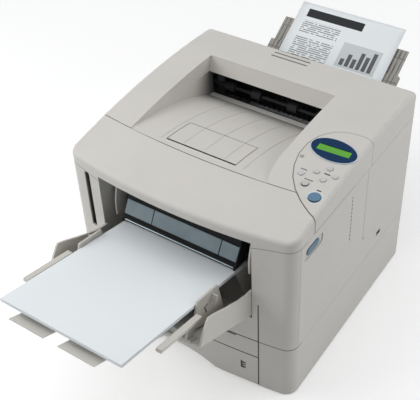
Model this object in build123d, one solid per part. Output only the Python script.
from build123d import *
import math
import os

# A laser printer with its front tray and its rear tray open. All sizes are in millimetres.
# While the pieces are drawn, X runs to the printer's right with 0 in the middle of its width,
# Y runs backwards from the front corners of the cabinet, and Z runs up from the floor.

# Cabinet
body_width = 408.0
body_depth = 390.0
lip_height = 330.0
crest_height = 357.0
crest_depth = 200.0
rear_height = 356.0
front_bow = 18.0
seam_bow = 13.0
seam_depth = 75.0
skirt_height = 313.0
base_height = 108.0
foot_height = 2.0
cover_wall = 2.5
seam = 0.6
front_corner = 22.0
rear_corner = 9.0
edge_round = 7.0
column_return = 15.0

# Fits and clearances
shaft_fit = 0.08
free_gap = 0.4
side_gap = 0.6

# Output well in the rear top cover
well_left = -143.0
well_right = 98.0
well_flare = 20.0
well_back = 306.0
well_floor_low = 282.0
well_floor_back = 298.0
well_floor_mid_depth = 184.0
well_floor_mid = 327.0
slot_depth = 330.0
slot_top = 332.0
rib_width = 1.2
rib_rise = 0.6
rib_pitch = 37.5
rib_first = -88.0
rib_count = 5
flap_left = -79.0
flap_right = 47.0
flap_front = 92.0
flap_back = 153.0
flap_front_gap = 2.2
flap_pin = 0.9
groove_length = 70.0
groove_width = 2.6
groove_depth = 1.5
groove_pitch = 11.5
groove_count = 3
groove_back = 386.0
groove_x = -21.0

# Control panel
panel_left = 119.0
panel_front = 52.0
panel_back = 229.0
oval_x = 162.0
oval_y = 182.0
oval_long = 39.2
oval_short = 24.0
oval_turn = -5.0
oval_rise = 1.4
display_length = 54.0
display_width = 14.0
display_turn = 3.0
display_rise = 0.6
button_rise = 1.6
button_travel = 1.0
button_flange = 1.4
button_stem = 3.0
board_thickness = 1.6
board_level = 331.0

# Mouth and front tray
mouth_half = 138.0
mouth_floor = 157.6
lap = 1.2
lap_height = 1.2
lower_seam_half = 148.0
column_line_top = 190.0
column_line_depth = 1.0
tray_hinge_y = -6.0
tray_hinge_z = 166.0
tray_bottom = 159.4
tray_top = 309.5
tray_open = 66.0
tray_half = 137.2
tray_floor_y = -6.0
tray_floor_thickness = 2.5
tray_pin = 2.5
cheek_thickness = 3.0
cheek_height = 35.0
tip_height = 6.0
rail_inner = 112.4
rail_outer = 121.6
rail_start = 294.0
rail_end = 383.0
rail_low_end = 8.0
rail_high_end = 26.0
rail_thickness = 5.0
wing_half = 104.0
paper_width = 210.0
paper_length = 297.0
stack_height = 5.0
paper_slope = 12.6
paper_front_y = -256.3
paper_front_z = 287.3
extension_half = 84.0
extension_thickness = 2.6
extension_length = 128.0
extension_out = 120.0
extension_sink = 9.0
stop_width = 61.0
stop_length = 58.0
stop_out = 36.0
guide_thickness = 3.0
guide_inner = paper_width / 2 + free_gap
guide_sole = 1.8
lever_reach = 12.4
guide_near = 52.0
guide_far = 100.0

# Mouth fittings
feed_half = paper_width / 2 - 0.3
feed_back = 64.0
feed_top = 302.0
feed_wall = 3.0
wing_plate = 4.0
plate_lean_y = 13.0
plate_low_z = 244.0
plate_high_z = 267.0
plate_front_y = 2.0
plate_thickness = 1.2
plate_gap = 1.6
plate_split_left = -52.0
plate_split_right = 72.0
plate_margin = 1.5
rod_radius = 1.5
rod_y = -1.0
rod_z = 236.0
end_cheek = 2.6
end_cheek_inner = rail_outer + 0.8

# Front cover hinge
cover_hinge_y = -10.8
cover_hinge_z = 112.0
cover_pin = 1.7
knuckle_radius = 3.2
knuckle_half_gap = 45.0
knuckle_width = 5.0
relief_half = 110.0
relief_depth = 4.8
deck_top = 101.0
deck_thickness = 3.0

# Cassette
cassette_half = 147.7
cassette_tub_half = 146.4
cassette_wall = 2.5
cassette_floor = 5.6
cassette_tub_top = 86.0
cassette_rear_top = 80.0
cassette_back = 372.0
cassette_groove = 70.0
lift_hinge_y = 262.0
lift_hinge_z = 14.0
lift_length = 204.0
lift_half = 102.0
lift_thickness = 1.5
lift_angle = 18.0
lift_pin = 2.0

# Rollers, as radius, depth and height
pickup_radius = 16.0
pickup_y = 76.0
pickup_z = 105.0
tray_pickup_radius = 14.0
tray_pickup_y = 36.0
registration_radius = 6.0
registration_y = 76.0
drum_radius = 15.0
drum_y = 178.0
drum_z = 214.0
transfer_radius = 7.0
heat_radius = 13.0
pressure_radius = 12.0
nip_y = 316.0
nip_z = 222.6
nip_gap = 1.4
exit_radius = 8.0
exit_y = 320.0
exit_z = 298.0
roller_shaft = 3.0

# Frame plates
plate_inner = 150.0
plate_sheet = 1.2
plate_front = 68.0
plate_back = 374.0
plate_top = 310.0
chute_top = 181.0
chute_thickness = 3.0

# Drive
gear_module = 2.0
pinion_teeth = 9
idler_teeth = 26
drum_teeth = 24
gear_face = 8.0
tooth_backlash = 1.0
motor_radius = 26.0
motor_length = 30.0

# Rear tray
rear_hinge_y = 397.0
rear_hinge_z = 244.5
rear_tray_half = 131.0
rear_tray_top = 354.0
rear_tray_open = 57.5
rear_tray_thickness = 8.0
rear_pin = 2.0
rear_slide = 52.0
rear_plate = 2.6
rear_plate_length = 68.0
sheet_thickness = 0.4
sheet_top_y = 562.5
sheet_top_z = 356.2
sheet_slope = 32.5
sheet_bend_y = 386.0

half_width = body_width / 2

# Front tray: its back wings, end stops, and the strip and bridge between its rails
wing_thickness = 1.3
stop_centre = 43.0
strip_drop = 1.9
bridge_thickness = 1.0

# Right side: release button in its recess, line of vents, panel groove and power switch
release_y = 50.0
release_z = 289.5
release_length = 35.0
release_height = 12.0
recess_length = 56.0
recess_height = 22.0
vent_count = 12
vent_size = 2.6
vent_y = 170.0
vent_low = 206.0
vent_high = 292.0
side_groove_y = 221.0
side_groove_low = 160.0
switch_y = 284.5
switch_z = 131.5
switch_length = 15.0
switch_height = 9.0
switch_pin = 1.5

# Left side and rear panel: fan, exit slot, mains inlet and data sockets (x, width, height)
fan_y = 335.0
fan_z = 205.0
fan_size = 60.0
fan_depth = 20.0
rear_edge_gap = 24.0
exit_slot_half = 113.0
inlet_x = 128.0
inlet_z = 132.0
socket_z = 134.0
socket_sizes = [(-134.0, 14.0, 13.0), (-108.0, 17.0, 14.5), (-62.0, 56.0, 13.0)]

# Control panel: buttons (x, y, radius) and screw posts (x, y)
button_places = {
    "go_button": (183.0, 86.0, 9.5),
    "cancel_button": (158.0, 103.0, 5.6),
    "reprint_button": (142.5, 119.0, 5.2),
    "up_key": (175.5, 145.5, 4.6),
    "left_key": (161.0, 131.5, 4.6),
    "right_key": (190.0, 134.0, 4.6),
    "down_key": (177.5, 121.0, 4.6),
}
panel_posts = [(134.0, 150.0), (162.0, 90.0), (188.0, 210.0)]


def circle_through(a, b, c):
    """Centre and radius of the circle through three points of the side view."""
    d = 2 * (a[0] * (b[1] - c[1]) + b[0] * (c[1] - a[1]) + c[0] * (a[1] - b[1]))
    aa = a[0] ** 2 + a[1] ** 2
    bb = b[0] ** 2 + b[1] ** 2
    cc = c[0] ** 2 + c[1] ** 2
    x = (aa * (b[1] - c[1]) + bb * (c[1] - a[1]) + cc * (a[1] - b[1])) / d
    y = (aa * (c[0] - b[0]) + bb * (a[0] - c[0]) + cc * (b[0] - a[0])) / d
    return x, y, math.hypot(a[0] - x, a[1] - y)


top_circle = circle_through((0, lip_height), (crest_depth, crest_height), (body_depth, rear_height))


def top_height(y):
    """Height of the cabinet's arched top at depth y."""
    return top_circle[1] + math.sqrt(top_circle[2] ** 2 - (y - top_circle[0]) ** 2)


floor_circle = circle_through(
    (well_floor_back, well_floor_low),
    (well_floor_mid_depth, well_floor_mid),
    (seam_depth + 2, top_height(seam_depth + 2)),
)


def floor_height(y):
    """Height of the output well's curved floor at depth y."""
    return floor_circle[1] + math.sqrt(floor_circle[2] ** 2 - (y - floor_circle[0]) ** 2)


def front_face(x):
    """Depth of the bowed front face at x."""
    return -front_bow * (1 - (x / half_width) ** 2)


def seam_line(x):
    """Depth of the bowed seam behind the front-top panel at x."""
    return seam_depth + seam_bow * (x / half_width) ** 2


def block(x0, x1, y0, y1, z0, z1):
    """A plain box between two corners."""
    return Pos((x0 + x1) / 2, (y0 + y1) / 2, (z0 + z1) / 2) * Box(x1 - x0, y1 - y0, z1 - z0)


def both_sides(piece):
    """A piece and its mirror image across the middle of the width."""
    return piece + mirror(piece, Plane.YZ)


def bar(radius, x0, x1, y, z):
    """A round bar along X."""
    return Pos((x0 + x1) / 2, y, z) * Rot(0, 90, 0) * Cylinder(radius, x1 - x0)


def side_slab(points, x0, x1):
    """A plate drawn in the side view as (y, z) points and extruded from x0 to x1."""
    face = Plane.YZ * make_face(Polyline(*points, close=True))
    return Pos(x0, 0, 0) * extrude(face, x1 - x0)


def turned(piece, y, z, degrees):
    """A piece turned about an axis along X, its top going forwards for a positive angle."""
    return Pos(0, y, z) * Rot(degrees, 0, 0) * Pos(0, -y, -z) * piece


def one_solid(shape):
    """The largest solid of a cut shape, without crumbs."""
    return max(shape.solids(), key=lambda solid: solid.volume)


def plan_face(inset):
    """Outline of the cabinet seen from above, drawn inside its outer face by inset."""
    half = half_width - inset
    back = body_depth - inset
    outline = ThreePointArc((-half, inset), (0, inset - front_bow), (half, inset))
    outline += Polyline((half, inset), (half, back), (-half, back), (-half, inset))
    face = make_face(outline)
    corners = face.vertices().sort_by(Axis.Y)
    face = fillet(corners[:2], front_corner - inset)
    corners = face.vertices().group_by(Axis.Y)[-1]
    return fillet(corners, rear_corner - inset)


def side_face(drop):
    """Side view of the cabinet with its top lowered by drop."""
    start = -front_bow - 12
    end = body_depth + 12
    top = ThreePointArc(
        (start, top_height(start) - drop), (crest_depth, crest_height - drop), (end, top_height(end) - drop)
    )
    sides = Polyline((end, top_height(end) - drop), (end, 0), (start, 0), (start, top_height(start) - drop))
    return Plane.YZ * make_face(top + sides)


def cabinet(inset):
    """The whole cabinet as one block, drawn inside its outer face by inset."""
    block_shape = extrude(
        plan_face(inset), crest_height + 20,
    ) & extrude(side_face(inset), half_width, both=True)
    rim = block_shape.edges().filter_by(lambda edge: edge.center().Z > lip_height - 12)
    return fillet(rim, edge_round - inset)


outer = cabinet(0)
skin = outer - cabinet(cover_wall)


def band_faces(low, high, y0, y1):
    """Side view of a band that follows the well's floor between two heights above it."""
    middle = (y0 + y1) / 2
    upper = ThreePointArc(
        (y0, floor_height(y0) + high), (middle, floor_height(middle) + high), (y1, floor_height(y1) + high)
    )
    lower = ThreePointArc(
        (y1, floor_height(y1) + low), (middle, floor_height(middle) + low), (y0, floor_height(y0) + low)
    )
    ends = Line(upper @ 1, lower @ 0) + Line(lower @ 1, upper @ 0)
    return Plane.YZ * make_face(upper + lower + ends)


def floor_band(low, high, y0, y1, x0, x1):
    """A solid band that follows the well's floor."""
    return Pos(x0, 0, 0) * extrude(band_faces(low, high, y0, y1), x1 - x0)


def seam_zone(shift):
    """Everything in front of the top seam, moved back by shift."""
    reach = half_width + 10
    arc = ThreePointArc(
        (-reach, seam_line(reach) + shift), (0, seam_depth + shift), (reach, seam_line(reach) + shift)
    )
    sides = Polyline(arc @ 1, (reach, -60), (-reach, -60), arc @ 0)
    return Pos(0, 0, skirt_height - 20) * extrude(make_face(arc + sides), 120)


def panel_face(grow):
    """Outline of the control panel seen from above, pushed outwards by grow."""
    reach = half_width + 8
    middle = (panel_front + panel_back) / 2
    points = [
        (reach, panel_front - 4),
        (panel_left + 51, panel_front + 19),
        (panel_left + 21, panel_front + 48.6),
        (panel_left, middle + 16),
        (panel_left + 5, middle + 56),
        (panel_left + 19, panel_back - 11),
        (panel_left + 38, panel_back),
        (reach, panel_back - 3),
    ]
    pushed = []
    for i, point in enumerate(points):
        before = points[max(i - 1, 0)]
        after = points[min(i + 1, len(points) - 1)]
        run = math.hypot(after[0] - before[0], after[1] - before[1])
        pushed.append((
            point[0] - grow * (after[1] - before[1]) / run,
            point[1] + grow * (after[0] - before[0]) / run,
        ))
    left = Spline(*pushed)
    right = Polyline(left @ 1, (reach + 4, panel_back), (reach + 4, panel_front), left @ 0)
    return make_face(left + right)


def panel_zone(grow):
    """Everything inside the control panel's outline, above the skirt seam."""
    return Pos(0, 0, skirt_height) * extrude(panel_face(grow), 80)


# Front cover, with the mouth, the columns and the front-top panel

cover_bottom = base_height + seam


def make_front_cover():
    """Front-top panel, columns, mouth frame and lower front in one moulding."""
    top_panel = skin & block(-half_width, half_width, -40, 120, skirt_height + seam / 2, 400)
    top_panel = (top_panel & seam_zone(0)) - panel_zone(seam)
    columns = skin & block(-half_width, half_width, -40, column_return, cover_bottom, skirt_height + 1)
    mouth = block(-mouth_half, mouth_half, -40, 40, mouth_floor, skirt_height - 2)
    cover = top_panel + (columns - mouth)
    wall_front = front_face(mouth_half) + 0.5
    wall = side_slab(
        [
            (wall_front, cover_bottom + 4),
            (feed_back, cover_bottom + 40),
            (feed_back, skirt_height + 10),
            (wall_front, skirt_height + 10),
        ],
        mouth_half,
        mouth_half + 3.6,
    )
    cover += both_sides(wall)
    floor_front = front_face(mouth_half) + 3
    floor = block(
        -mouth_half - 1, mouth_half + 1, floor_front, feed_back, mouth_floor - 11, mouth_floor - 8.5,
    )
    cover += floor
    back = block(-mouth_half - 1, mouth_half + 1, feed_back - 2.5, feed_back, mouth_floor - 11, 204)
    cover += back
    beam = block(
        -mouth_half - 1, mouth_half + 1, feed_back - 14, feed_back, feed_top + free_gap, feed_top + 6,
    )
    cover += beam
    stiffener = block(-mouth_half, mouth_half, 0, 2.5, skirt_height + 2, lip_height - 1)
    cover += stiffener
    cover += mouth_ramp()
    cover += both_sides(end_cheeks())
    for x in rib_places():
        cover += block(x, x + 2.4, -20, 30, cover_bottom + 1, mouth_floor - 9) & cabinet_inset(1.0)
    cover -= cabinet_inset(lap) & block(-mouth_half, mouth_half, -40, 0, mouth_floor - 6, mouth_floor + 1)
    for side in (-1, 1):
        x = side * knuckle_half_gap
        swing = bar(
            knuckle_radius + 3.2, x - knuckle_width / 2 - 1, x + knuckle_width / 2 + 1, cover_hinge_y,
            cover_hinge_z,
        )
        cover -= swing & cabinet_inset(1.0)
        cover += bar(
            cover_pin, x - knuckle_width / 2 - 3, x + knuckle_width / 2 + 3, cover_hinge_y, cover_hinge_z,
        )
    cover -= both_sides(bar(tray_pin + shaft_fit, tray_half - 1, mouth_half + 8, tray_hinge_y, tray_hinge_z))
    cover -= latch_slot()
    for x in (-lower_seam_half, lower_seam_half):
        line = block(x - seam / 2, x + seam / 2, -40, column_return, cover_bottom - 1, column_line_top)
        cover -= line & (outer - cabinet_inset(column_line_depth))
    return one_solid(cover)


def rib_places():
    """Left faces of the two ribs beside each hinge knuckle."""
    places = []
    for side in (-1, 1):
        x = side * knuckle_half_gap
        places += [x - knuckle_width / 2 - 3.6, x + knuckle_width / 2 + 1.2]
    return places


def mouth_ramp():
    """Sloping plate that the stack's end lies on inside the mouth."""
    slope = math.tan(math.radians(paper_slope))
    level = (
        paper_front_z + slope * paper_front_y - stack_height / math.cos(math.radians(paper_slope))
        - free_gap
    )
    y0, y1 = -1.0, feed_back
    points = [
        (y0, level - slope * y0),
        (y1, level - slope * y1),
        (y1, level - slope * y1 - 2),
        (y0, level - slope * y0 - 2),
    ]
    plate = side_slab(points, -feed_half, feed_half)
    web = side_slab(
        [(y1 - 1.0, level - slope * y1), (y1 - 1.0, 200), (y1 - 2.5, 200), (y1 - 2.5, level - slope * y1)],
        -feed_half,
        feed_half,
    )
    prop = side_slab(
        [(4, level - 2.5), (y1, level - slope * y1 - 1), (y1, mouth_floor - 9), (30, mouth_floor - 9)], 0, 2.5
    )
    shape = plate + web
    for x in (-feed_half + 4, -feed_half / 3, feed_half / 3 - 2.5, feed_half - 6.5):
        shape += Pos(x, 0, 0) * prop
    return shape


def end_cheeks():
    """Light curved cheek at each end of the mouth, outside the rails of the shut tray."""
    low = paper_level(6) + 1.0
    face = make_face(
        Polyline((6, low), (feed_back, low), (feed_back, feed_top + 3), (24, feed_top + 3))
        + ThreePointArc((24, feed_top + 3), (9, rod_z + 36), (6, low))
    )
    return Pos(end_cheek_inner, 0, 0) * extrude(Plane.YZ * face, end_cheek)


def latch_slot():
    """Tall slot in the left column, beside the mouth."""
    slot = block(-170, -159, -30, 8, 196, skirt_height - 6)
    return fillet(slot.edges().filter_by(Axis.Y), 4)


# Front tray, drawn shut and then swung open about its hinge


def tray_pose(piece):
    """A piece of the shut tray as it lies with the tray open."""
    return turned(piece, tray_hinge_y, tray_hinge_z, tray_open)


def shut_point(y, z):
    """Where a point of the open tray lies when the tray is shut."""
    a = math.radians(tray_open)
    dy = y - tray_hinge_y
    dz = z - tray_hinge_z
    return (
        tray_hinge_y + dy * math.cos(a) + dz * math.sin(a),
        tray_hinge_z - dy * math.sin(a) + dz * math.cos(a),
    )


def paper_level(y):
    """Height of the top of the stack in the open tray at depth y."""
    return paper_front_z - math.tan(math.radians(paper_slope)) * (y - paper_front_y)


def make_front_tray():
    """Tray door: bowed outer skin, flat floor, tall cheeks and hinge pins."""
    width = block(-tray_half, tray_half, -40, 60, tray_bottom, tray_top)
    tray = skin & width
    tray -= block(-tray_half, tray_half, -40, 0, 0, tray_bottom + lap_height) - cabinet_inset(lap)
    inner = tray_floor_y
    under = inner - tray_floor_thickness
    tray += block(-wing_half, wing_half, under, inner, tray_hinge_z - 1, tray_top)
    tray += block(-wing_half, wing_half, -40, inner + tip_height, tray_top - 3, tray_top) & outer
    for x in (-tray_half, tray_half - 2.4):
        tray += block(x, x + 2.4, -30, inner - 1, tray_bottom + lap_height, tray_top) & outer
    for x in (-60, -20, 20, 60):
        tray += block(x - 1, x + 1, -40, under + 0.5, tray_hinge_z + 2, tray_hinge_z + 6) & outer
    points = [
        (inner - 2, tray_hinge_z - 3),
        (inner + 8, tray_hinge_z - 3),
        (cheek_height + 3.5, tray_hinge_z + 22),
        (cheek_height - 1, tray_hinge_z + 39),
        (cheek_height - 2.5, tray_hinge_z + 59),
        (cheek_height - 2, tray_hinge_z + 94),
        (cheek_height - 0.5, tray_hinge_z + 122),
        (cheek_height - 1, tray_top - 6.5),
        (cheek_height - 6, tray_top - 4.5),
        (15, tray_top - 1.5),
        (inner + 5, tray_top - 0.4),
        (inner - 2, tray_top - 0.4),
    ]
    tray += both_sides(side_slab(points, tray_half - cheek_thickness, tray_half))
    tray += both_sides(bar(tray_pin, tray_half - 2, mouth_half + 3, tray_hinge_y, tray_hinge_z))
    bridge = block(-tray_half, tray_half, under, inner, tray_hinge_z - 1, tray_hinge_z + 4)
    tray += bridge
    y = extension_y()
    tall = extension_thickness / 2 + free_gap
    half = extension_half + free_gap
    tray -= block(-half, half, y - tall, y + tall, tray_top - 4, tray_top + 1)
    strip_half = stop_centre + free_gap
    tray -= block(-strip_half, strip_half, y - tall - strip_drop, y, tray_top - 4, tray_top + 1)
    wing = wing_half + 1
    tray -= block(-wing, wing, y + tall - wing_thickness - 2 * free_gap, y + tall, tray_top - 4, tray_top + 1)
    return tray_pose(one_solid(tray))


def extension_y():
    """Depth of the middle of the extension in the shut tray."""
    return tray_floor_y - tray_floor_thickness - extension_thickness / 2 - free_gap


def make_tray_extension():
    """Tongue that slides out of the tray's tip, with a window for each end stop and two side rails."""
    top = tray_top - extension_sink + extension_out
    y = extension_y()
    t = extension_thickness / 2
    plate = block(-extension_half, extension_half, y - t, y + t, top - extension_length, top)
    for x in (-stop_centre, stop_centre):
        x0 = x - stop_width / 2 - free_gap
        x1 = x + stop_width / 2 + free_gap
        plate -= block(x0, x1, y - 2 * t, y + 2 * t, top - extension_length + 12, top - 8)
        plate -= block(x0, x1, y - t + bridge_thickness, y + 2 * t, top - 9, top + 1)
    plate += both_sides(make_rail())
    return tray_pose(plate)


def make_rail():
    """Side rail of the extension beside the stack, on a wing that runs under the tray's floor."""
    y = extension_y() + extension_thickness / 2
    floor_top = tray_floor_y - 0.5
    z0 = rail_start
    z1 = rail_start + 18
    wing = block(extension_half - 1, wing_half + 2, y - wing_thickness, y, z0, z1)
    wing += block(wing_half + free_gap, wing_half + 2, y - wing_thickness, floor_top, z0, z1)
    wing += block(wing_half + free_gap, rail_outer, y, floor_top, z0, z1)
    run = rail_end - rail_start
    level = rail_high_end - (rail_high_end - rail_low_end) * 18 / run
    leg = side_slab([(y, z0), (rail_high_end - 1, z0), (level - 1, z1), (y, z1)], rail_inner, rail_inner + 3)
    points = [
        (rail_high_end, z0),
        (rail_low_end, rail_end),
        (rail_low_end - rail_thickness, rail_end),
        (rail_high_end - rail_thickness, z0),
    ]
    return wing + leg + side_slab(points, rail_inner, rail_outer)


def make_tray_stops():
    """Two end stops on a common strip, which slide out of the extension."""
    top = tray_top - extension_sink + extension_out + stop_out
    y = extension_y()
    t = extension_thickness / 2
    low = y - t - free_gap
    foot = top - stop_length + 6
    shape = block(-stop_centre, stop_centre, low - strip_drop + free_gap, low, top - stop_length, foot)
    for x in (-stop_centre, stop_centre):
        x0 = x - stop_width / 2
        x1 = x + stop_width / 2
        shape += block(x0, x1, y - t + bridge_thickness + free_gap, y + t, top - stop_length, top)
        inner = min(abs(x0), abs(x1))
        side = math.copysign(1, x)
        a = side * inner
        b = side * stop_centre
        shape += block(min(a, b), max(a, b), low - strip_drop + free_gap, y + t, top - stop_length, foot)
    return tray_pose(shape)


def make_guide():
    """Right paper guide: sole on the tray floor, wall beside the stack and a finger lever."""
    sole_y = tray_floor_y + 0.35
    low = shut_point(-guide_near, paper_level(-guide_near) + 9)
    high = shut_point(-guide_far, paper_level(-guide_far) + 7)
    foot_low = tray_hinge_z + 34
    foot_high = high[1] - 6
    x0 = guide_inner
    wall = side_slab(
        [
            (sole_y, foot_low), (low[0], low[1]), (high[0], high[1]), (sole_y, foot_high),
        ], x0, x0 + guide_thickness
    )
    wall += block(x0 - 24, x0 + guide_thickness, sole_y, sole_y + guide_sole, foot_low, foot_high)
    lever_low = shut_point(-guide_near - 12, paper_level(-guide_near - 12) + 3)
    lever = Pos(0, lever_low[0] - 14, lever_low[1]) * block(x0 + 1, x0 + lever_reach, 0, 12, 0, 3.2)
    return wall + lever


def paper_slab(y0, y1, half, top_drop, thickness):
    """A flat slab in the plane of the stack."""
    lean = math.cos(math.radians(paper_slope))
    points = [
        (y0, paper_level(y0) - top_drop),
        (y1, paper_level(y1) - top_drop),
        (y1, paper_level(y1) - top_drop - thickness / lean),
        (y0, paper_level(y0) - top_drop - thickness / lean),
    ]
    return side_slab(points, -half, half)


def make_stack():
    """The stack of sheets in the open tray."""
    run = paper_length * math.cos(math.radians(paper_slope))
    return paper_slab(paper_front_y, paper_front_y + run, paper_width / 2, 0, stack_height)


# Mouth fittings on the front cover


def make_feed_housing():
    """Black hood over the tray's pickup roller."""
    nose = [
        (-3.5, rod_z - 3.2),
        (-3.5, rod_z + 3.0),
        (plate_front_y - 0.5, plate_low_z - 3),
        (plate_front_y, plate_low_z),
        (plate_front_y + plate_lean_y, plate_high_z),
        (plate_front_y + plate_lean_y + 2, feed_top),
        (feed_back - 1, feed_top),
        (feed_back - 1, rod_z - 6),
    ]
    hood = side_slab(nose, -feed_half, feed_half)
    cavity = [
        (3, rod_z - 7),
        (6, plate_low_z - 2),
        (plate_front_y + plate_lean_y + 3, plate_high_z),
        (plate_front_y + plate_lean_y + 5, feed_top - feed_wall),
        (feed_back - 1 - feed_wall, feed_top - feed_wall),
        (feed_back - 1 - feed_wall, rod_z - 7),
    ]
    hood -= side_slab(cavity, -feed_half + feed_wall, feed_half - feed_wall)
    wing_back = feed_back - 1
    wing = block(
        feed_half - 1, end_cheek_inner - free_gap, wing_back - wing_plate, wing_back, rod_z - 6, feed_top,
    )
    hood += both_sides(wing)
    axis_z = tray_pickup_z()
    hood -= bar(roller_shaft + shaft_fit, -feed_half - 1, feed_half + 1, tray_pickup_y, axis_z)
    hood -= bar(rod_radius + 0.02, -feed_half + 1.5, feed_half - 1.5, rod_y, rod_z)
    hood -= block(-feed_half + feed_wall, feed_half - feed_wall, -6, rod_y, rod_z - 6, rod_z + 6)
    return one_solid(hood)


def make_guard_plates():
    """Blue-grey guard in three segments on the sloping front of the feed housing."""
    normal_y = -math.sin(math.atan2(plate_high_z - plate_low_z, plate_lean_y))
    normal_z = math.cos(math.atan2(plate_high_z - plate_low_z, plate_lean_y))
    rise = plate_high_z - plate_low_z
    low = (plate_front_y + 0.06 * plate_lean_y, plate_low_z + 0.06 * rise)
    high = (plate_front_y + 0.94 * plate_lean_y, plate_low_z + 0.94 * rise)
    t = plate_thickness
    points = [
        low,
        high,
        (high[0] + normal_y * t, high[1] + normal_z * t),
        (low[0] + normal_y * t, low[1] + normal_z * t),
    ]
    end = feed_half - plate_margin
    spans = [
        (-end, plate_split_left),
        (plate_split_left + plate_gap, plate_split_right),
        (plate_split_right + plate_gap, end),
    ]
    shape = None
    for x0, x1 in spans:
        segment = side_slab(points, x0, x1)
        shape = segment if shape is None else shape + segment
    return shape


def make_mouth_rod():
    """Bright steel rod across the front of the mouth."""
    return bar(rod_radius, -feed_half + 1.6, feed_half - 1.6, rod_y, rod_z)


def tray_pickup_z():
    """Height of the tray pickup roller's axis, just clear of the stack."""
    lean = math.cos(math.radians(paper_slope))
    return paper_level(tray_pickup_y) + (tray_pickup_radius + free_gap) / lean


def make_tray_pickup():
    """Tray pickup roller on its shaft."""
    z = tray_pickup_z()
    shaft = bar(roller_shaft, -feed_half + 0.6, feed_half - 0.6, tray_pickup_y, z)
    return shaft + bar(tray_pickup_radius, -20, 20, tray_pickup_y, z)


# Base frame and cassette


def make_base_frame():
    """Base tub: floor, skirts, cassette rails, deck and the cover's hinge knuckles."""
    skirts = skin & block(-half_width, half_width, -40, body_depth, foot_height, base_height - seam)
    opening = block(-lower_seam_half - seam / 2, lower_seam_half + seam / 2, -40, 20, 0, base_height + 1)
    base = skirts - opening
    pan = Pos(0, 0, foot_height) * extrude(plan_face(cover_wall - 1), cover_wall)
    pan -= block(-lower_seam_half, lower_seam_half, -40, 4, 0, 20)
    base += pan
    rail = block(
        lower_seam_half + seam / 2, lower_seam_half + 3, -4, body_depth - 2, foot_height + 1, deck_top - 1,
    )
    base += both_sides(rail)
    stop = block(
        -half_width + 8, half_width - 8, cassette_back + 2, cassette_back + 4.5, foot_height + 1,
        deck_top - 1,
    )
    base += stop
    deck = Pos(0, 0, deck_top - deck_thickness) * extrude(plan_face(cover_wall - 1), deck_thickness)
    deck -= block(-half_width, half_width, -40, 4, 0, 200)
    deck -= block(-60, 60, pickup_y - 22, pickup_y + 22, 0, 200)
    base += deck
    beam = block(-lower_seam_half - 2, lower_seam_half + 2, 4, 12, deck_top - 2, base_height - seam)
    base += beam
    for side in (-1, 1):
        x = side * knuckle_half_gap
        arm = side_slab(
            [
                (6, base_height - seam),
                (cover_hinge_y, cover_hinge_z + knuckle_radius - 0.4),
                (cover_hinge_y, cover_hinge_z - knuckle_radius + 0.4),
                (cover_hinge_y + 5, base_height - 3.4),
                (6, base_height - 3.4),
            ],
            x - knuckle_width / 2,
            x + knuckle_width / 2,
        )
        ring = bar(knuckle_radius, x - knuckle_width / 2, x + knuckle_width / 2, cover_hinge_y, cover_hinge_z)
        base += arm + ring
        base -= bar(cover_pin + shaft_fit, x - knuckle_width, x + knuckle_width, cover_hinge_y, cover_hinge_z)
    return one_solid(base)


def make_feet():
    """Four round rubber feet under the floor."""
    shape = None
    for x in (-half_width + 34, half_width - 34):
        for y in (34, body_depth - 34):
            foot = Pos(x, y, foot_height / 2) * Cylinder(12, foot_height)
            shape = foot if shape is None else shape + foot
    return shape


def make_cassette():
    """Cassette: bowed front with its grip relief, tub and the lift plate's pivots."""
    front = outer & block(-cassette_half, cassette_half, -40, 2, foot_height + 1.5, base_height - seam)
    hollow = outer & block(
        -cassette_half + 3, cassette_half - 3, front_face(0) + 3, -1, foot_height + 24, base_height - 12,
    )
    hollow = hollow & Pos(0, cover_wall, 0) * outer
    front -= hollow
    front -= block(-relief_half, relief_half, -40, 3, base_height - relief_depth, base_height + 1)
    groove = (outer - cabinet_inset(0.8)) & block(
        -cassette_half, cassette_half, -40, 3, cassette_groove - 0.6, cassette_groove + 0.6
    )
    front -= groove
    arch = Pos(0, 0, foot_height - 118) * Rot(90, 0, 0) * Cylinder(138, 80)
    front -= arch
    window = block(118.5, 123.5, -40, -5, 33, 46)
    front -= window & (outer - cabinet_inset(1.2))
    tub = block(-cassette_tub_half, cassette_tub_half, -0.5, cassette_back, cassette_floor, cassette_tub_top)
    inside = block(
        -cassette_tub_half + cassette_wall,
        cassette_tub_half - cassette_wall,
        3,
        cassette_back - cassette_wall,
        cassette_floor + cassette_wall,
        cassette_tub_top + 1,
    )
    tub -= inside
    tub -= block(-60, 60, cassette_back - 10, cassette_back + 1, cassette_rear_top - 20, cassette_tub_top + 1)
    cassette = front + tub
    for side in (-1, 1):
        x0 = side * (lift_half + 3.5)
        ear = block(
            x0 - 1.5, x0 + 1.5, lift_hinge_y - 5, lift_hinge_y + 5, cassette_floor + 1, lift_hinge_z + 5,
        )
        cassette += ear
        cassette -= bar(lift_pin + shaft_fit, x0 - 3, x0 + 3, lift_hinge_y, lift_hinge_z)
    return one_solid(cassette)


insets = {}


def cabinet_inset(inset):
    """The cabinet block drawn in by a small amount, made once for each amount."""
    if inset not in insets:
        insets[inset] = cabinet(inset)
    return insets[inset]


def make_lift_plate():
    """Lift plate, raised at its front as it stands with no paper in the cassette."""
    y, z = lift_hinge_y, lift_hinge_z
    plate = block(-lift_half, lift_half, y - lift_length, y, z - lift_thickness / 2, z + lift_thickness / 2)
    plate -= block(-30, 30, y - lift_length - 1, y - lift_length + 20, z - 5, z + 5)
    plate += bar(lift_pin, -lift_half - 5, lift_half + 5, y, z)
    return turned(plate, y, z, -lift_angle)


def make_cassette_pickup():
    """Cassette pickup roller on a short shaft."""
    return bar(roller_shaft, -36, 36, pickup_y, pickup_z) + bar(pickup_radius, -22, 22, pickup_y, pickup_z)


# Side covers, rear panel and rear top cover


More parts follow.
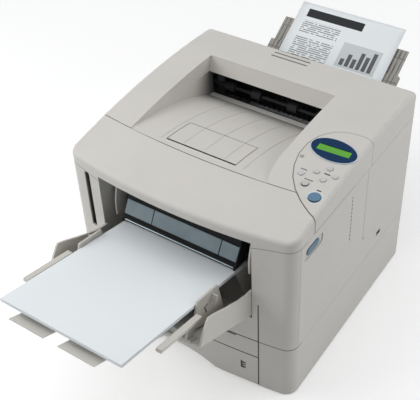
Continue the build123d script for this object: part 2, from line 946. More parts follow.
def make_side_cover(side):
    """Side cover with its return behind the column and round the rear corner."""
    x0, x1 = (0, half_width + 1) if side > 0 else (-half_width - 1, 0)
    cover = skin & block(x0, x1, column_return + seam, body_depth + 1, base_height, skirt_height - seam / 2)
    rear_edge = half_width - 24
    cover -= block(-rear_edge, rear_edge, 200, body_depth + 10, 0, 400)
    inner = side * (half_width - cover_wall - 1.25)
    lip = block(
        inner - 1.25, inner + 1.5, column_return + seam, column_return + 14, base_height, skirt_height - 1,
    )
    cover += lip
    if side > 0:
        cover -= release_recess()
        cover += release_pocket()
        cover -= vent_column()
        cover -= side_groove()
        cover -= switch_hole(0)
        cover += switch_frame()
    else:
        cover -= fan_grille()
    return one_solid(cover)


def oval_bar(length, height, x0, x1):
    """A bar along X with round ends in Y, centred on the release button."""
    face = Plane.YZ * SlotOverall(length, height)
    return Pos(x0, release_y, release_z) * extrude(face, x1 - x0)


def release_recess():
    """Oval recess and hole for the release button."""
    shape = oval_bar(recess_length, recess_height, half_width - 1.6, half_width + 4)
    return shape + oval_bar(release_length + side_gap, release_height + side_gap, half_width - 12, half_width)


def release_pocket():
    """Wall behind the release button's recess, with the button's opening through it."""
    plate = oval_bar(recess_length + 5, recess_height + 5, half_width - 4.4, half_width - 1.6)
    return plate - oval_bar(release_length + side_gap, release_height + side_gap, half_width - 12, half_width)


def make_release_button():
    """Oval button that frees the front cover, with its flange and stem."""
    cap = oval_bar(release_length, release_height, half_width - 5.5, half_width - 0.2)
    flange = oval_bar(release_length + 6, release_height + 6, half_width - 10.2, half_width - 8.6)
    stem = oval_bar(release_length - 8, release_height - 5, half_width - 16, half_width - 5.4)
    return cap + flange + stem


def vent_column():
    """A line of small vent holes down the right side."""
    shape = None
    for i in range(vent_count):
        z = vent_low + (vent_high - vent_low) * i / (vent_count - 1)
        hole = block(
            half_width - 6, half_width + 2, vent_y - vent_size / 2, vent_y + vent_size / 2,
            z - vent_size / 2, z + vent_size / 2,
        )
        shape = hole if shape is None else shape + hole
    return shape


def side_groove():
    """Shallow groove down the right side, with a hook at its foot."""
    x0 = half_width - 0.7
    upright = block(
        x0, half_width + 2, side_groove_y - 0.6, side_groove_y + 0.6, side_groove_low + 5,
        skirt_height + 5,
    )
    hook = block(
        x0, half_width + 2, side_groove_y - 0.6, side_groove_y + 7, side_groove_low + 4.4,
        side_groove_low + 5.6,
    )
    return upright + hook


def switch_hole(grow):
    """Opening for the power switch in the right side cover."""
    half_length = switch_length / 2 + grow
    half_height = switch_height / 2 + grow
    return block(
        half_width - 14, half_width + 2, switch_y - half_length, switch_y + half_length,
        switch_z - half_height, switch_z + half_height,
    )


def switch_frame():
    """Collar behind the cover that carries the rocker's pins."""
    collar = switch_hole(2.0) & block(half_width - 12, half_width - 1, 0, 400, 0, 400)
    collar -= switch_hole(0)
    axis = Pos(half_width - 6.5, switch_y, switch_z)
    return collar - axis * Cylinder(switch_pin + shaft_fit, switch_height + 8)


def make_power_switch():
    """Rocker of the power switch on its pins, its rear end pressed in."""
    pivot_x = half_width - 6.5
    half_length = switch_length / 2 - 1.9
    outline = Polyline(
        (0, -2.6),
        (0, 2.6),
        (5.0, half_length),
        (6.4, half_length),
        (4.8, 0),
        (3.2, -half_length),
        (1.8, -half_length),
        close=True,
    )
    face = make_face(outline)
    rocker = Pos(pivot_x, switch_y, switch_z) * Pos(
        0, 0, -switch_height / 2 + 0.4,
    ) * extrude(face, switch_height - 0.8)
    pins = Pos(pivot_x, switch_y, switch_z) * Cylinder(switch_pin, switch_height + 3.2)
    return rocker + pins


def fan_grille():
    """Slots in the left cover in front of the fan."""
    shape = None
    for i in range(7):
        z = fan_z - 24 + 8 * i
        reach = math.sqrt(27.0 ** 2 - (z - fan_z) ** 2)
        slot = block(-half_width - 2, -half_width + 6, fan_y - reach, fan_y + reach, z - 1.8, z + 1.8)
        shape = slot if shape is None else shape + slot
    return shape


def make_rear_panel():
    """Rear panel with the exit slot, the sockets' openings and the rear tray's ears."""
    edge = half_width - rear_edge_gap - seam
    panel = skin & block(-edge, edge, 200, body_depth + 1, base_height, skirt_height - seam / 2)
    panel += block(-edge, -edge + 2.5, body_depth - 14, body_depth - 1, base_height, skirt_height - 1)
    panel += block(edge - 2.5, edge, body_depth - 14, body_depth - 1, base_height, skirt_height - 1)
    z = sheet_height(body_depth)
    panel -= block(-exit_slot_half, exit_slot_half, body_depth - 10, body_depth + 5, z - 3.2, z + 9)
    sill = block(-exit_slot_half, exit_slot_half, body_depth - 16, body_depth - 1, z - 11.5, z - 9.0)
    panel += sill
    panel -= block(
        inlet_x - 14.2, inlet_x + 14.2, body_depth - 10, body_depth + 5, inlet_z - 10.7, inlet_z + 10.7,
    )
    for x, width, height in socket_sizes:
        panel -= block(
            x - width / 2 - 0.3, x + width / 2 + 0.3, body_depth - 10, body_depth + 5,
            socket_z - height / 2 - 0.3, socket_z + height / 2 + 0.3,
        )
    ear = side_slab(
        [
            (body_depth - 1, rear_hinge_z - 9),
            (rear_hinge_y + 3, rear_hinge_z - 4.2),
            (rear_hinge_y + 4, rear_hinge_z),
            (rear_hinge_y + 3, rear_hinge_z + 4.2),
            (body_depth - 1, rear_hinge_z + 9),
        ],
        rear_tray_half + free_gap,
        rear_tray_half + free_gap + 4,
    )
    panel += both_sides(ear)
    panel -= both_sides(
        bar(rear_pin + shaft_fit, rear_tray_half - 1, rear_tray_half + 3.4, rear_hinge_y, rear_hinge_z)
    )
    for i in range(9):
        z0 = 270 + 4.6 * i
        panel -= block(140, 172, body_depth - 6, body_depth + 3, z0 - 70, z0 - 67.6)
    return one_solid(panel)


def make_mains_inlet():
    """Mains socket: an open shell with its three blades."""
    shell = block(
        inlet_x - 13.9, inlet_x + 13.9, body_depth - 22, body_depth + 0.6, inlet_z - 10.4, inlet_z + 10.4,
    )
    mouth = block(inlet_x - 12, inlet_x + 12, body_depth - 18, body_depth + 1, inlet_z - 8, inlet_z + 8)
    core = block(inlet_x - 12, inlet_x + 12, body_depth - 18, body_depth - 17, inlet_z - 8, inlet_z + 8)
    shape = shell - mouth + core
    for dx, dz in ((-7, -1.5), (0, 2.5), (7, -1.5)):
        shape += block(
            inlet_x + dx - 1, inlet_x + dx + 1, body_depth - 18, body_depth - 4, inlet_z + dz - 2,
            inlet_z + dz + 2,
        )
    shape += block(
        inlet_x - 20, inlet_x + 20, body_depth - 5.2, body_depth - cover_wall - 0.05, inlet_z - 13,
        inlet_z + 13,
    ) - mouth
    return shape


def make_data_sockets():
    """Three metal data sockets with open mouths."""
    shape = None
    for x, width, height in socket_sizes:
        shell = block(
            x - width / 2, x + width / 2, body_depth - 18, body_depth + 0.4, socket_z - height / 2,
            socket_z + height / 2,
        )
        mouth = block(
            x - width / 2 + 1.5, x + width / 2 - 1.5, body_depth - 12, body_depth + 1,
            socket_z - height / 2 + 1.5, socket_z + height / 2 - 1.5,
        )
        tongue = block(
            x - width / 4, x + width / 4, body_depth - 13, body_depth - 5, socket_z - 1, socket_z + 1,
        )
        flange = block(
            x - width / 2 - 3, x + width / 2 + 3, body_depth - 4.6, body_depth - cover_wall - 0.05,
            socket_z - height / 2 - 2, socket_z + height / 2 + 2,
        )
        piece = (shell + flange) - mouth + tongue
        shape = piece if shape is None else shape + piece
    return shape


def well_outline(grow):
    """Outline of the output well seen from above."""
    right = well_right + grow
    left = well_left - grow
    flare = ThreePointArc((right, 150), (right + well_flare * 0.3, 95), (right + well_flare, 60))
    outline = flare + Polyline(flare @ 1, (left, 60), (left, slot_depth), (right, slot_depth), flare @ 0)
    return make_face(outline)


def well_side(drop, back):
    """Side view of the well's opening with its floor lowered by drop."""
    y0 = 56
    middle = (y0 + well_floor_back) / 2
    floor = ThreePointArc(
        (y0, floor_height(y0) - drop),
        (middle, floor_height(middle) - drop),
        (well_floor_back, floor_height(well_floor_back) - drop),
    )
    low = floor_height(well_floor_back) - drop
    rest = Polyline(floor @ 1, (back, low), (back, 400), (y0, 400), floor @ 0)
    return Plane.YZ * make_face(floor + rest)


def make_rear_top_cover():
    """Rear top cover with the output well, its floor ribs, the overhang and the grip grooves."""
    cover = skin & block(-half_width, half_width, -40, body_depth + 1, skirt_height + seam / 2, 400)
    cover -= seam_zone(seam)
    cover -= panel_zone(seam / 2)
    tall = Pos(0, 0, 240)
    inside = tall * extrude(well_outline(0), 200)
    around = tall * extrude(well_outline(cover_wall), 200)
    void_side = Pos(-half_width, 0, 0) * extrude(well_side(0, well_back), body_width)
    wall_side = Pos(-half_width, 0, 0) * extrude(well_side(cover_wall, well_back + cover_wall), body_width)
    cover -= inside & void_side
    tub = ((around & wall_side) - (inside & void_side)) & outer
    tub -= seam_zone(seam)
    tub -= panel_zone(seam / 2)
    slot = block(
        well_left, well_right, well_floor_back - 2, well_back + 20, floor_height(well_floor_back),
        slot_top,
    )
    tub -= slot
    overhang = side_slab(
        [
            (well_back, top_height(well_back) - 1),
            (well_floor_back, slot_top),
            (well_floor_back + cover_wall, slot_top),
            (well_back + cover_wall, top_height(well_back) - 1),
        ],
        well_left - 1,
        well_right + 1,
    )
    cover += tub
    cover += overhang & outer
    for i in range(rib_count):
        x = rib_first + rib_pitch * i
        cover += floor_band(
            -0.5, rib_rise, seam_depth + 14, well_floor_back - 20, x - rib_width / 2, x + rib_width / 2,
        )
    cover -= floor_band(
        -cover_wall - 1, 5, flap_front - flap_front_gap, flap_back + free_gap,
        flap_left - free_gap, flap_right + free_gap
    )
    cover += flap_pan()
    cover -= bar(flap_pin + shaft_fit, flap_left - 2.6, flap_right + 2.6, flap_axis_y(), flap_axis_z())
    for i in range(groove_count):
        y = groove_back - groove_pitch * i
        length = groove_length / 2
        cut = block(
            groove_x - length, groove_x + length, y - groove_width / 2, y + groove_width / 2, 340, 400,
        )
        cover -= cut & (outer - cabinet_inset(groove_depth))
    return one_solid(cover)


def flap_axis_y():
    """Depth of the support flap's axis."""
    return flap_front + 1.5


def flap_axis_z():
    """Height of the support flap's axis."""
    return floor_height(flap_axis_y()) - 1.5


def flap_pan():
    """Shallow pan under the support flap."""
    under = cover_wall + free_gap + 1.2
    pan = floor_band(
        -under - 2.0, -under, flap_front - flap_front_gap - 3, flap_back + 4, flap_left - 4, flap_right + 4
    )
    rim = floor_band(
        -under - 1.0, -cover_wall + 0.5, flap_front - flap_front_gap - 3, flap_back + 4,
        flap_left - 4, flap_right + 4
    )
    rim -= floor_band(
        -under - 9, 9, flap_front - flap_front_gap, flap_back + free_gap, flap_left - free_gap,
        flap_right + free_gap
    )
    return pan + rim


def make_output_flap():
    """Support flap in the well's floor, with its pins and its share of the floor's ribs."""
    flap = floor_band(-cover_wall, 0, flap_front, flap_back, flap_left, flap_right)
    for i in range(rib_count):
        x = rib_first + rib_pitch * i
        if flap_left < x < flap_right:
            flap += floor_band(
                -0.5, rib_rise, flap_front + 4, flap_back - 4, x - rib_width / 2, x + rib_width / 2,
            )
    flap += bar(flap_pin, flap_left - 2.2, flap_right + 2.2, flap_axis_y(), flap_axis_z())
    return one_solid(flap)


# Control panel, display and buttons


def make_control_panel():
    """Control panel moulding, flush with the top, with holes for display and buttons."""
    panel = skin & panel_zone(0)
    panel = panel & block(0, half_width + 5, 0, 300, skirt_height + seam / 2, 400)
    hole = Rectangle(display_length + 1, display_width + 1)
    panel -= display_place(1.0) * Rot(0, 0, display_turn) * extrude(hole, 30, both=True)
    for x, y, radius in button_places.values():
        panel -= Pos(x, y, 0) * Pos(0, 0, 350) * Cylinder(radius + 0.35, 60)
    for x, y in panel_posts:
        panel += Pos(x, y, 0) * post(x, y)
    return one_solid(panel)


def post(x, y):
    """Screw post from the control panel down to its board."""
    top = top_height(y) - cover_wall + 0.5
    bottom = board_level + board_thickness
    return Pos(0, 0, (top + bottom) / 2) * Cylinder(3.0, top - bottom)


def panel_tilt():
    """Slope of the top under the display, in degrees."""
    return math.degrees(math.atan((top_height(oval_y + 10) - top_height(oval_y - 10)) / 20))


def display_place(lift):
    """Location on the sloping top at the middle of the display surround."""
    return Pos(oval_x, oval_y, top_height(oval_y) - 1.2 + lift) * Rot(panel_tilt(), 0, 0)


def make_display_surround():
    """Oval display surround that stands a little proud of the panel."""
    place = display_place(0)
    disc = place * Rot(0, 0, oval_turn) * extrude(Ellipse(oval_long, oval_short), oval_rise + 1.2)
    disc -= outer
    hole = place * Rot(0, 0, display_turn) * extrude(Rectangle(display_length, display_width), 30, both=True)
    return one_solid(disc - hole)


def make_display_window():
    """Display window in the surround."""
    place = display_place(0) * Rot(0, 0, display_turn)
    body = extrude(Rectangle(display_length - 0.2, display_width - 0.2), 1.2 + display_rise)
    seat = Pos(0, 0, -5) * extrude(Rectangle(display_length - 0.2, display_width - 0.2), 5.2)
    return place * (body + seat)


def make_button(x, y, radius):
    """A round button with a flange under the panel and a stem to its switch."""
    top = top_height(y)
    lean = top - top_height(y - radius - 1)
    cap_low = top - cover_wall - lean - 0.5
    cap = Pos(x, y, (top + button_rise + cap_low) / 2) * Cylinder(radius, top + button_rise - cap_low)
    rim = cap.edges().group_by(Axis.Z)[-1]
    cap = fillet(rim, 0.6)
    flange_top = cap_low + 0.1
    flange = Pos(x, y, flange_top - button_flange / 2) * Cylinder(radius + 1.0, button_flange)
    stem_low = board_level + board_thickness + button_travel + 0.3
    stem = Pos(x, y, (stem_low + flange_top) / 2) * Cylinder(button_stem / 2, flange_top - stem_low)
    return cap + flange + stem


def make_circuit_boards():
    """Panel board under the buttons and the main board on the left frame plate."""
    panel_board = block(126, 197, 76, 218, board_level, board_level + board_thickness)
    x1 = -plate_inner - plate_sheet - 14
    main = block(x1 - board_thickness, x1, 104, 300, 118, 286)
    shape = panel_board + main
    for y, z, depth, width, height in (
        (150, 150, 40, 40, 4), (210, 150, 26, 34, 3), (
            150, 220, 44, 30, 6,
        ), (220, 230, 30, 50, 5), (270, 150, 24, 36, 9),
    ):
        shape += block(
            x1 - board_thickness - height, x1 - board_thickness + 0.1, y - depth / 2, y + depth / 2,
            z - width / 2, z + width / 2,
        )
    for y in (114, 290):
        for z in (128, 276):
            shape += bar(3, x1 - 0.5, -plate_inner - plate_sheet - 0.02, y, z)
    return shape


# Inner works


def sheet_height(y):
    """Height of the printed sheet outside the rear panel at depth y."""
    return sheet_top_z - math.tan(math.radians(sheet_slope)) * (sheet_top_y - y)


def nip_angle():
    """Slope of the printed sheet between the fuser rollers and the rear panel, in radians."""
    return math.atan2(sheet_height(sheet_bend_y) - nip_z, sheet_bend_y - nip_y)


def heat_place():
    """Depth and height of the heat roller's axis, above the sheet at the nip."""
    reach = heat_radius + nip_gap / 2
    return nip_y - reach * math.sin(nip_angle()), nip_z + reach * math.cos(nip_angle())


def pressure_place():
    """Depth and height of the pressure roller's axis, below the sheet at the nip."""
    reach = pressure_radius + nip_gap / 2
    return nip_y + reach * math.sin(nip_angle()), nip_z - reach * math.cos(nip_angle())


def make_frame_plates():
    """Left and right steel side plates with their bearings' holes."""
    points = [
        (plate_front, deck_top),
        (plate_back, deck_top),
        (plate_back, plate_top),
        (200, plate_top),
        (120, 286),
        (plate_front + 10, 286),
        (plate_front, 250),
    ]
    plate = side_slab(points, plate_inner, plate_inner + plate_sheet)
    foot = block(plate_inner, plate_inner + 14, plate_front, plate_back, deck_top, deck_top + plate_sheet)
    shape = plate + foot
    for y, z, r in (
        (exit_y, exit_z, roller_shaft),
        (registration_y, registration_z(), roller_shaft),
        (drum_y, drum_z, 4.0),
    ):
        shape -= bar(r + shaft_fit, plate_inner - 1, plate_inner + plate_sheet + 1, y, z)
    idler_y, idler_z = idler_place()
    shape -= bar(roller_shaft + shaft_fit, plate_inner - 1, plate_inner + plate_sheet + 1, idler_y, idler_z)
    motor_y, motor_z = motor_place()
    shape -= bar(4.4, plate_inner - 1, plate_inner + plate_sheet + 1, motor_y, motor_z)
    left = mirror(shape, Plane.YZ)
    return shape + left


def registration_z():
    """Height of the registration roller, just under the paper's path."""
    return paper_level(registration_y) - stack_height - registration_radius - 1.0


def make_chutes():
    """Paper chute between the frame plates and the holders of the cassette pickup roller."""
    inner = plate_inner
    chute = block(-inner, inner, 90, 286, chute_top - chute_thickness, chute_top)
    chute -= block(-112, 112, drum_y - 12, drum_y + 10, 0, 300)
    for side in (-1, 1):
        x0 = side * (inner - 1.5)
        chute += block(x0 - 1.5, x0 + 1.5, 90, 286, chute_top - 14, chute_top + 2)
    for i in range(8):
        x = -98 + 28 * i
        chute += block(x - 0.8, x + 0.8, 205, 284, chute_top - 0.5, chute_top + 4)
    shape = chute
    for side in (-1, 1):
        x0 = side * 34
        holder = block(x0 - 2, x0 + 2, pickup_y - 26, pickup_y + 26, deck_top, deck_top + 3)
        holder += block(x0 - 2, x0 + 2, pickup_y - 9, pickup_y + 9, deck_top, pickup_z + 8)
        holder -= bar(roller_shaft + shaft_fit, x0 - 5, x0 + 5, pickup_y, pickup_z)
        shape += holder
    return shape


def make_laser_unit():
    """Closed laser unit with its window and the seat of the polygon mirror."""
    y0, y1, z0, z1 = 168.0, 264.0, 262.0, 289.0
    body = block(-128, 128, y0, y1, z0, z1)
    body -= block(-125, 125, y0 + 3, y1 - 3, z0 + 3, z1 - 3)
    body -= block(-108, 108, drum_y - 3, drum_y + 3, z0 - 1, z0 + 4)
    body += block(
        -plate_inner, plate_inner, y0 + 8, y0 + 24, z0 - 3, z0 + 0.5,
    ) - block(-118, 118, drum_y - 8, drum_y + 8, 0, 400)
    body += block(-plate_inner, plate_inner, y1 - 24, y1 - 8, z0 - 3, z0 + 0.5)
    body += Pos(0, 234, z0 + 5) * Cylinder(9, 5)
    body -= Pos(0, 234, z0 + 6) * Cylinder(2 + shaft_fit, 12)
    return body


def make_polygon_mirror():
    """Six-sided scanning mirror on its spindle."""
    prism = Pos(0, 234, 276) * extrude(RegularPolygon(16, 6), 7)
    return prism + Pos(0, 234, 271.7) * Cylinder(2, 9.2)


def make_drum_unit():
    """Drum unit frame: two end plates with bridges between them."""
    points = [
        (90, chute_top),
        (206, chute_top),
        (206, 246),
        (190, 256),
        (96, 256),
        (90, 240),
    ]
    end = side_slab(points, 113, 116)
    end -= bar(4 + shaft_fit, 110, 120, drum_y, drum_z)
    end -= bar(2.5 + shaft_fit, 110, 120, drum_y, transfer_z())
    shape = both_sides(end)
    shape += block(-113.5, 113.5, 200, 206, 222, 246)
    shape += block(-113.5, 113.5, 90, 96, 206, 240)
    shape += block(-113.5, 113.5, 100, 150, 253.4, 256)
    return shape


def transfer_z():
    """Height of the transfer roller under the drum."""
    return drum_z - drum_radius - transfer_radius - 0.6


def make_toner_cartridge():
    """Toner cartridge with its sloping front and grip."""
    points = [
        (97, 212),
        (120, 200),
        (158, 200),
        (161, 214),
        (161, 234),
        (150, 252.6),
        (108, 252.6),
        (97, 238),
    ]
    return side_slab(points, -112.2, 112.2)


def make_drum():
    """Photosensitive drum with its end flanges and shaft."""
    drum = bar(drum_radius, -108, 108, drum_y, drum_z)
    drum += bar(drum_radius - 3, -111.5, 111.5, drum_y, drum_z)
    drum += bar(4, -115.6, 115.6, drum_y, drum_z)
    return drum


def make_transfer_roller():
    """Soft transfer roller under the drum."""
    roller = bar(transfer_radius, -108, 108, drum_y, transfer_z())
    return roller + bar(2.5, -115.6, 115.6, drum_y, transfer_z())


def make_registration_roller():
    """Registration roller at the inner end of the tray's paper path."""
    roller = bar(registration_radius, -104, 104, registration_y, registration_z())
    return roller + bar(
        roller_shaft, -plate_inner - plate_sheet, plate_inner + plate_sheet, registration_y,
        registration_z(),
    )


def make_exit_rollers():
    """Exit shaft with four rubber tyres, seen in the well's slot."""
    shape = bar(roller_shaft, -plate_inner - plate_sheet, plate_inner + plate_sheet, exit_y, exit_z)
    for x in (-112, -58, 14, 68):
        shape += bar(exit_radius, x - 9, x + 9, exit_y, exit_z)
    return shape


def make_fuser_frame():
    """Fuser frame: end plates, hood and the brackets to the frame plates."""
    end = block(118, 123, 290, 344, 188, 254)
    end -= bar(6 + shaft_fit, 110, 130, *heat_place())
    end -= bar(4 + shaft_fit, 110, 130, *pressure_place())
    bracket = block(122.5, plate_inner, 296, 338, 188, 191)
    shape = both_sides(end + bracket)
    shape += block(-119, 119, 290, 344, 252, 254.6)
    shape += block(-119, 119, 290, 292.4, 232, 253)
    shape += block(-119, 119, 290, 344, 188, 190.4)
    return shape


def make_heat_roller():
    """Heat roller, a tube with its end journals."""
    shape = bar(heat_radius, -112, 112, *heat_place())
    return shape + bar(6, -126, 126, *heat_place())


def make_pressure_roller():
    """Rubber pressure roller with its shaft."""
    shape = bar(pressure_radius, -110, 110, *pressure_place())
    return shape + bar(4, -125, 125, *pressure_place())


def gear(teeth, phase):
    """A spur gear in the XY plane with a tooth centred on the phase angle."""
    pitch = gear_module * teeth / 2
    tip = pitch + gear_module * 0.8
    root = pitch - gear_module * 1.1
    step = 360.0 / teeth
    pitch_half = (math.pi * gear_module / 2 - tooth_backlash) / 2
    root_half = math.degrees((pitch_half + gear_module * 0.35) / root)
    tip_half = math.degrees((pitch_half - gear_module * 0.3) / tip)
    points = []
    for i in range(teeth):
        a = phase + i * step
        for r, d in ((root, -root_half), (tip, -tip_half), (tip, tip_half), (root, root_half)):
            points.append((r * math.cos(math.radians(a + d)), r * math.sin(math.radians(a + d))))
    return make_face(Polyline(*points, close=True))


idler_angle = -49.0
motor_angle = -78.0


def idler_place():
    """Depth and height of the idler gear's axis, meshed with the drum gear."""
    reach = gear_module * (idler_teeth + drum_teeth) / 2
    a = math.radians(idler_angle)
    return drum_y + reach * math.cos(a), drum_z + reach * math.sin(a)


def motor_place():
    """Depth and height of the motor's axis, meshed with the idler gear."""
    reach = gear_module * (idler_teeth + pinion_teeth) / 2
    y, z = idler_place()
    a = math.radians(motor_angle)
    return y + reach * math.cos(a), z + reach * math.sin(a)


gear_x = plate_inner + plate_sheet + 3.0


def gear_solid(face, y, z):
    """A gear face stood on an axis along X, its angles measured from +Y towards +Z."""
    return Pos(gear_x, y, z) * extrude(Plane.YZ * face, gear_face)


def make_drum_gear():
    """Drum gear with its stub shaft and coupling dog through the right frame plate."""
    shape = gear_solid(gear(drum_teeth, idler_angle), drum_y, drum_z)
    shape += bar(4, 117.0, gear_x + 1, drum_y, drum_z)
    return shape + bar(9, 117.0, 121.0, drum_y, drum_z)


def idler_phase():
    """Angle of an idler tooth, set so that a gap meets the drum gear's tooth."""
    return idler_angle + 180 + 180.0 / idler_teeth


def make_idler_gear():
    """Idler gear on its stub shaft."""
    y, z = idler_place()
    shape = gear_solid(gear(idler_teeth, idler_phase()), y, z)
    return shape + bar(roller_shaft, plate_inner + 0.05, gear_x + gear_face + 1, y, z)


def pinion_phase():
    """Angle of a pinion tooth, set so that a gap meets the idler's teeth."""
    step = 360.0 / idler_teeth
    off = (motor_angle - idler_phase()) % step
    return motor_angle + 180 + off * idler_teeth / pinion_teeth + 180.0 / pinion_teeth


def make_motor_pinion():
    """Motor pinion on the motor's shaft."""
    y, z = motor_place()
    shape = gear_solid(gear(pinion_teeth, pinion_phase()), y, z)
    return shape + bar(2.5, gear_x - 2, gear_x + gear_face + 6, y, z)


def make_main_motor():
    """Main motor on its bracket outside the right frame plate."""
    y, z = motor_place()
    x0 = gear_x + gear_face + 3
    can = bar(motor_radius, x0 + 1.6, x0 + motor_length, y, z)
    bracket = block(x0, x0 + 1.6, y - 30, y + 30, z - 30, z + 30)
    shape = can + bracket
    for dy, dz in ((-27, -27), (27, -27), (27, 27)):
        shape += bar(3, plate_inner + plate_sheet + 0.02, x0 + 0.2, y + dy, z + dz)
    shape -= bar(2.5 + shaft_fit, x0 - 1, x0 + 8, y, z)
    shape -= bar(6, x0 - 1, x0 + 0.8, y, z)
    return shape


def make_power_supply():
    """Power supply board on the deck with its transformer, heat sink and capacitors."""
    z = deck_top + 6
    shape = block(-136, 100, 214, 352, z, z + 1.6)
    for x in (-130, 94):
        for y in (220, 346):
            shape += Pos(x, y, (deck_top + z) / 2 + 0.01) * Cylinder(3, z - deck_top - 0.02)
    shape += block(-110, -66, 240, 280, z + 1, z + 34)
    shape += block(-40, 30, 320, 328, z + 1, z + 40)
    shape += block(-10, 20, 240, 270, z + 1, z + 24)
    for x, y in ((60, 240), (60, 268), (-60, 320), (-90, 320)):
        shape += Pos(x, y, z + 16) * Cylinder(10, 30)
    return shape


def make_screws():
    """Pan-head screws on the frame plates' feet and bosses."""
    shape = None
    for side in (-1, 1):
        for y in (plate_front + 20, 220, plate_back - 24):
            x = side * (plate_inner + 9)
            screw = Pos(x, y, deck_top + plate_sheet + 1.02) * Cylinder(3.5, 2.0)
            screw -= Pos(x, y, deck_top + plate_sheet + 2) * Box(5, 0.9, 1.2)
            shape = screw if shape is None else shape + screw
    return shape


def make_fan_frame():
    """Cooling fan frame on the left cover."""
    x0 = -half_width + cover_wall + 0.02
    half = fan_size / 2
    frame = block(x0, x0 + fan_depth, fan_y - half, fan_y + half, fan_z - half, fan_z + half)
    frame -= bar(28, x0 - 1, x0 + fan_depth + 1, fan_y, fan_z)
    hub = bar(11, x0 + fan_depth - 4, x0 + fan_depth, fan_y, fan_z)
    for turn in (30, 150, 270):
        arm = Pos(x0 + fan_depth - 2, fan_y, fan_z) * Rot(turn, 0, 0) * Pos(0, 14.5, 0) * Box(3, 28, 3)
        hub += arm
    hub -= bar(1.5 + shaft_fit, x0, x0 + fan_depth + 2, fan_y, fan_z)
    return frame + hub


def make_fan_rotor():
    """Seven-bladed fan rotor."""
    x0 = -half_width + cover_wall + 2
    rotor = bar(10, x0, x0 + 12, fan_y, fan_z) + bar(1.5, x0 + 11, x0 + fan_depth - 2.5, fan_y, fan_z)
    for i in range(7):
        blade = Pos(x0 + 6, fan_y, fan_z) * Rot(
            i * 360 / 7, 0, 0,
        ) * Pos(0, 17.5, 0) * Rot(0, 35, 0) * Box(13, 17, 1.2)
        rotor += blade
    return rotor


# Rear tray and printed sheet


def rear_pose(piece):
    """A piece of the shut rear tray as it lies with the tray open."""
    return turned(piece, rear_hinge_y, rear_hinge_z, -rear_tray_open)


def make_rear_tray():
    """Rear tray: a flat shell with a channel for its extension."""
    y0 = rear_hinge_y - rear_tray_thickness / 2
    y1 = rear_hinge_y + rear_tray_thickness / 2
    tray = block(-rear_tray_half, rear_tray_half, y0, y1, rear_hinge_z - 4, rear_tray_top)
    tray = fillet(tray.edges().filter_by(Axis.X).group_by(Axis.Z)[0], 3.9)
    half = rear_tray_half - 5
    gap = rear_plate / 2 + free_gap
    tray -= block(
        -half - free_gap, half + free_gap, rear_hinge_y - gap, rear_hinge_y + gap,
        rear_tray_top - rear_plate_length - free_gap, rear_tray_top + 1,
    )
    tray += both_sides(bar(rear_pin, rear_tray_half - 2, rear_tray_half + 3.0, rear_hinge_y, rear_hinge_z))
    return rear_pose(tray)


def make_rear_extension():
    """Extension that slides out of the rear tray's end."""
    half = rear_tray_half - 5
    top = rear_tray_top + rear_slide
    plate = block(
        -half, half, rear_hinge_y - rear_plate / 2, rear_hinge_y + rear_plate / 2,
        top - rear_plate_length, top
    )
    return rear_pose(plate)


def make_printed_sheet():
    """The printed sheet from the fuser's nip up to its free end."""
    t = sheet_thickness
    y_out = sheet_bend_y
    run_out = math.hypot(sheet_top_y - y_out, sheet_top_z - sheet_height(y_out))
    run_in = paper_length - run_out
    a = nip_angle()
    y_in = y_out - run_in * math.cos(a)
    z_in = sheet_height(y_out) - run_in * math.sin(a)
    points = [
        (y_in, z_in),
        (y_out, sheet_height(y_out)),
        (sheet_top_y, sheet_top_z),
        (sheet_top_y, sheet_top_z + t),
        (y_out, sheet_height(y_out) + t),
        (y_in, z_in + t),
    ]
    return side_slab(points, -paper_width / 2, paper_width / 2)


# The parts, each under its own name

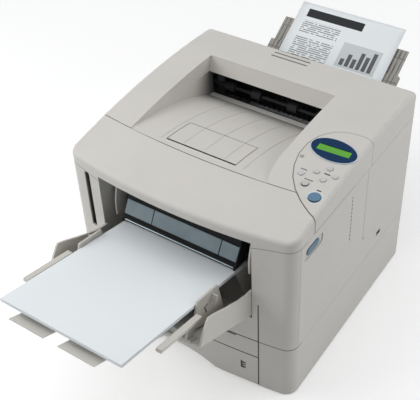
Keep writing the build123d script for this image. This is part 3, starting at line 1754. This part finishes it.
guide = make_guide()
parts = {
    "base_frame": make_base_frame(),
    "rubber_feet": make_feet(),
    "left_side_cover": make_side_cover(-1),
    "right_side_cover": make_side_cover(1),
    "rear_top_cover": make_rear_top_cover(),
    "rear_panel": make_rear_panel(),
    "frame_plates": make_frame_plates(),
    "chute_plates": make_chutes(),
    "control_panel": make_control_panel(),
    "display_surround": make_display_surround(),
    "display_window": make_display_window(),
    "circuit_boards": make_circuit_boards(),
    "power_supply": make_power_supply(),
    "chassis_screws": make_screws(),
    "laser_unit": make_laser_unit(),
    "polygon_mirror": make_polygon_mirror(),
    "drum_unit_frame": make_drum_unit(),
    "toner_cartridge": make_toner_cartridge(),
    "photosensitive_drum": make_drum(),
    "transfer_roller": make_transfer_roller(),
    "registration_roller": make_registration_roller(),
    "fuser_frame": make_fuser_frame(),
    "heat_roller": make_heat_roller(),
    "pressure_roller": make_pressure_roller(),
    "exit_rollers": make_exit_rollers(),
    "cassette_pickup_roller": make_cassette_pickup(),
    "main_motor": make_main_motor(),
    "motor_pinion": make_motor_pinion(),
    "idler_gear": make_idler_gear(),
    "drum_gear": make_drum_gear(),
    "fan_frame": make_fan_frame(),
    "fan_rotor": make_fan_rotor(),
    "mains_inlet": make_mains_inlet(),
    "data_sockets": make_data_sockets(),
    "power_switch": make_power_switch(),
    "output_flap": make_output_flap(),
    "rear_tray": make_rear_tray(),
    "rear_tray_extension": make_rear_extension(),
    "printed_sheet": make_printed_sheet(),
    "front_cover": make_front_cover(),
    "feed_housing": make_feed_housing(),
    "guard_plates": make_guard_plates(),
    "mouth_rod": make_mouth_rod(),
    "tray_pickup_roller": make_tray_pickup(),
    "release_button": make_release_button(),
    "front_tray": make_front_tray(),
    "tray_extension": make_tray_extension(),
    "tray_end_stops": make_tray_stops(),
    "right_paper_guide": tray_pose(guide),
    "left_paper_guide": tray_pose(mirror(guide, Plane.YZ)),
    "paper_stack": make_stack(),
    "paper_cassette": make_cassette(),
    "cassette_lift_plate": make_lift_plate(),
}
for name, (x, y, radius) in button_places.items():
    parts[name] = make_button(x, y, radius)

# The finished part stands with the middle of its whole depth, trays included, over the origin
front_reach = parts["tray_end_stops"].bounding_box().min.Y
rear_reach = parts["printed_sheet"].bounding_box().max.Y
centre_y = (front_reach + rear_reach) / 2

os.makedirs("parts", exist_ok=True)
for name, shape in parts.items():
    export_step(Pos(0, -centre_y, 0) * shape, f"parts/{name}.step")
print(f"{len(parts)} parts, depth centre {centre_y:.4f}")
